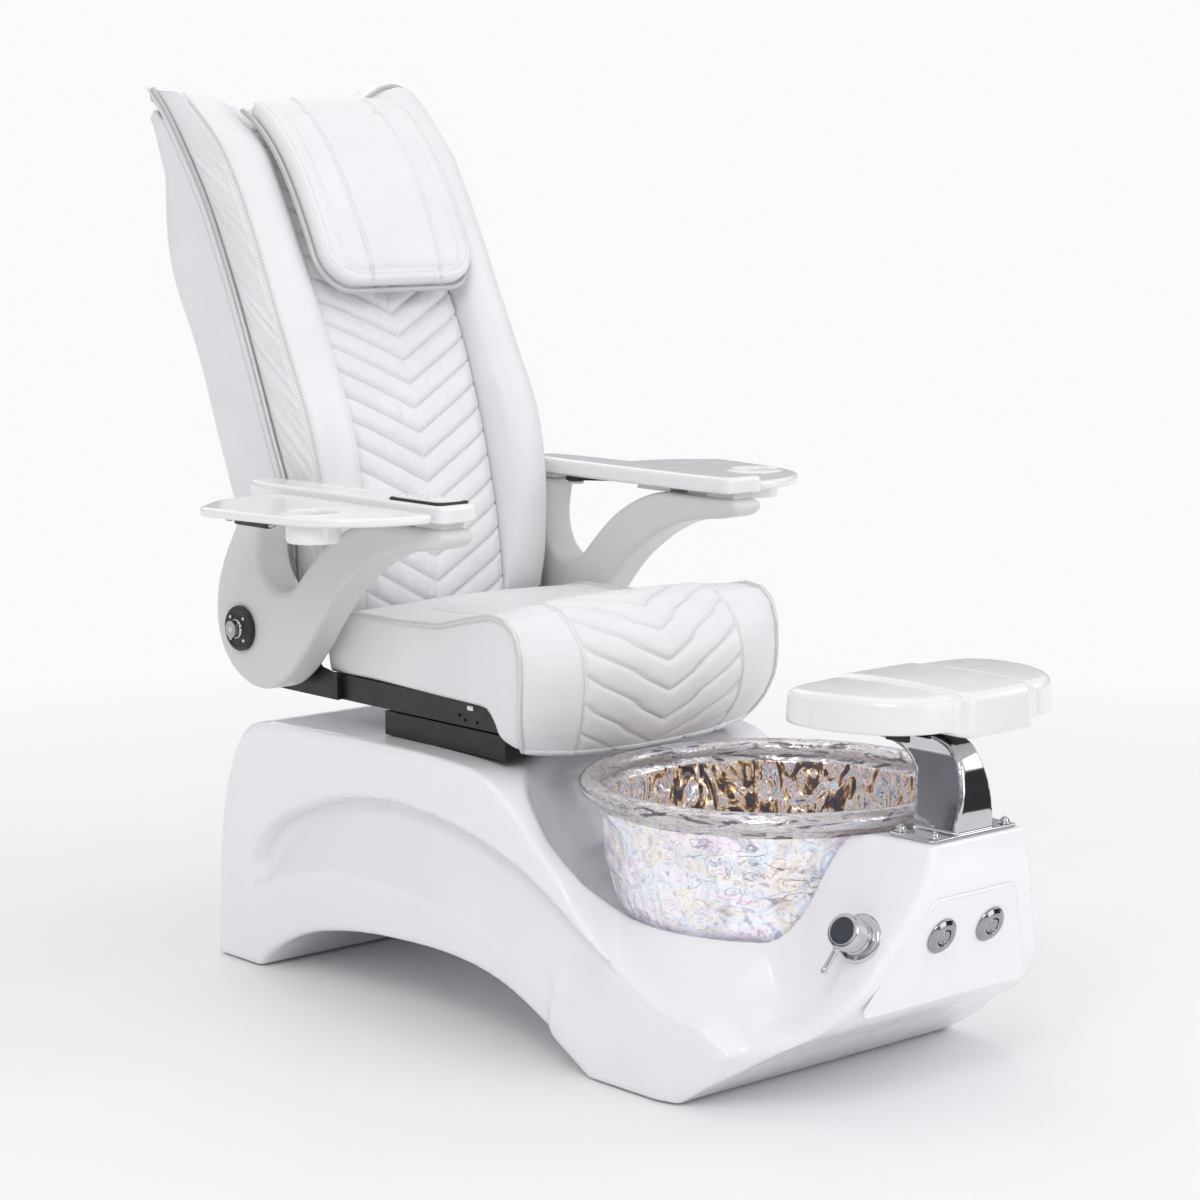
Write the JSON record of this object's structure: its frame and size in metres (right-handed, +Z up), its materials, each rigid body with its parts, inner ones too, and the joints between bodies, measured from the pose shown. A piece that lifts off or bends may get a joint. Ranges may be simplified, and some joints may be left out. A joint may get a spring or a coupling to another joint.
{
  "type": "pedicure spa chair",
  "caption": "Reclining massage chair on an arched moulded base with a glass foot bowl, front console, padded footrest and swivel side trays.",
  "frame": {"origin": "floor level under the middle of the chair's overall outline, on its left-right middle plane", "axes": "+Z up; the sitter faces -Y; +X is the sitter's left"},
  "size_m": [1.112, 1.73, 1.466],
  "materials": {
    "white_shell": "high-gloss white gelcoat",
    "white_panel": "high-gloss white",
    "dark_steel": "satin black powder coat",
    "grey_steel": "plain steel",
    "chrome": "polished chrome",
    "black_plastic": "matt black",
    "glass": "hammered glass with a pearl coating",
    "arm_plastic": "warm light grey, semi-gloss",
    "tray_plastic": "gloss white",
    "upholstery": "soft white synthetic leather",
    "pad_plastic": "gloss warm white",
    "rubber": "black rubber"
  },
  "bodies": {
    "base": {"base_shell": "white_shell", "service_panel": "white_panel", "service_panel_screws": "chrome", "console_panel": "white_panel", "button_bezels": "chrome", "base_frame": "dark_steel", "levelling_feet": "rubber", "bowl": "glass", "drain_flange": "chrome", "drain_hose": "rubber", "jet_housing": "tray_plastic", "jet_cap": "tray_plastic", "jet_motor": "black_plastic", "control_box": "black_plastic", "supply_hoses": "rubber", "mixer_escutcheon": "chrome", "mixer_body": "chrome", "spray_holder": "chrome", "footrest_bolts": "chrome", "footrest_bracket": "chrome", "slide_base": "dark_steel", "slide_motor": "black_plastic"},
    "button_right": {"button_right": "chrome"},
    "button_left": {"button_left": "chrome"},
    "drain_plug": {"drain_plug": "chrome"},
    "jet_impeller": {"jet_impeller": "black_plastic"},
    "mixer": {"mixer_turret": "chrome"},
    "spray": {"spray_head": "chrome"},
    "footrest": {"footrest_hinge": "dark_steel", "footrest_pad": "pad_plastic"},
    "seat": {"seat_frame": "dark_steel", "hinge_pins": "grey_steel", "arm_pivot_pins": "grey_steel", "arm_pivot_caps": "dark_steel", "seat_cushion": "upholstery", "slide_rod": "grey_steel", "recline_motor": "black_plastic"},
    "back": {"back_frame": "dark_steel", "back_cushion": "upholstery", "bolster_left": "upholstery", "bolster_right": "upholstery", "back_cover": "upholstery", "headrest_pillow": "upholstery", "massage_rails": "dark_steel"},
    "carriage": {"massage_carriage": "grey_steel"},
    "rollers": {"massage_rollers": "rubber"},
    "recline_rod": {"recline_rod": "grey_steel"},
    "arm_left": {"armrest_left": "arm_plastic", "arm_pad_left": "tray_plastic", "arm_bracket_left": "dark_steel"},
    "arm_right": {"armrest_right": "arm_plastic", "arm_pad_right": "tray_plastic", "arm_bracket_right": "dark_steel"},
    "tray_left": {"tray_left": "tray_plastic", "tray_hinge_left": "dark_steel", "cup_holder_left": "tray_plastic"},
    "tray_right": {"tray_right": "tray_plastic", "tray_hinge_right": "dark_steel", "cup_holder_right": "tray_plastic"},
    "remote": {"remote_control": "black_plastic"}
  },
  "joints": [
    {"name": "button_right_press", "type": "slide", "parent": "base", "child": "button_right", "axis": [0, 0.9476, 0.3194], "range_m": [0, 0.004]},
    {"name": "button_left_press", "type": "slide", "parent": "base", "child": "button_left", "axis": [0, 0.9476, 0.3194], "range_m": [0, 0.004]},
    {"name": "drain_plug_lift", "type": "slide", "parent": "base", "child": "drain_plug", "axis": [0, 0, 1], "range_m": [0, 0.06]},
    {"name": "jet_impeller_spin", "type": "hinge", "parent": "base", "child": "jet_impeller", "pos_m": [0, -0.673, 0.3], "axis": [0, 1, 0], "continuous": true},
    {"name": "mixer_turn", "type": "hinge", "parent": "base", "child": "mixer", "pos_m": [-0.153, -0.758, 0.266], "axis": [-0.8949, -0.12, 0.4299], "range_deg": [-60, 60]},
    {"name": "spray_head_pull", "type": "slide", "parent": "base", "child": "spray", "axis": [0.8949, -0.12, 0.4299], "range_m": [0, 0.12]},
    {"name": "footrest_tilt", "type": "hinge", "parent": "base", "child": "footrest", "pos_m": [0, -0.723, 0.541], "axis": [1, 0, 0], "range_deg": [-8, 8]},
    {"name": "seat_slide", "type": "slide", "parent": "base", "child": "seat", "axis": [0, 1, 0], "range_m": [-0.1, 0]},
    {"name": "back_recline", "type": "hinge", "parent": "seat", "child": "back", "pos_m": [0, 0.427, 0.54], "axis": [-1, 0, 0], "range_deg": [-8, 20]},
    {"name": "recline_rod_slide", "type": "slide", "parent": "seat", "child": "recline_rod", "axis": [0, 1, 0], "range_m": [-0.03, 0.012]},
    {"name": "massage_carriage_travel", "type": "slide", "parent": "back", "child": "carriage", "axis": [0, 0.342, 0.9397], "range_m": [0, 0.25]},
    {"name": "massage_roller_spin", "type": "hinge", "parent": "carriage", "child": "rollers", "pos_m": [0, 0.51815, 0.89031], "axis": [1, 0, 0], "continuous": true},
    {"name": "armrest_left_lift", "type": "hinge", "parent": "seat", "child": "arm_left", "pos_m": [0.306, 0.463, 0.583], "axis": [-1, 0, 0], "range_deg": [0, 65]},
    {"name": "armrest_right_lift", "type": "hinge", "parent": "seat", "child": "arm_right", "pos_m": [-0.306, 0.463, 0.583], "axis": [-1, 0, 0], "range_deg": [0, 65]},
    {"name": "tray_left_swivel", "type": "hinge", "parent": "arm_left", "child": "tray_left", "pos_m": [0.3, 0.361, 0.8], "axis": [0, 0, 1], "range_deg": [0, 35]},
    {"name": "tray_right_swivel", "type": "hinge", "parent": "arm_right", "child": "tray_right", "pos_m": [-0.3, 0.361, 0.8], "axis": [0, 0, -1], "range_deg": [0, 35]},
    {"name": "remote_lift", "type": "slide", "parent": "arm_right", "child": "remote", "axis": [0, 0, 1], "range_m": [0, 0.05]}
  ],
  "couplings": [
    {"joint": "recline_rod_slide", "follows": "back_recline", "m_per_rad": -0.072}
  ]
}
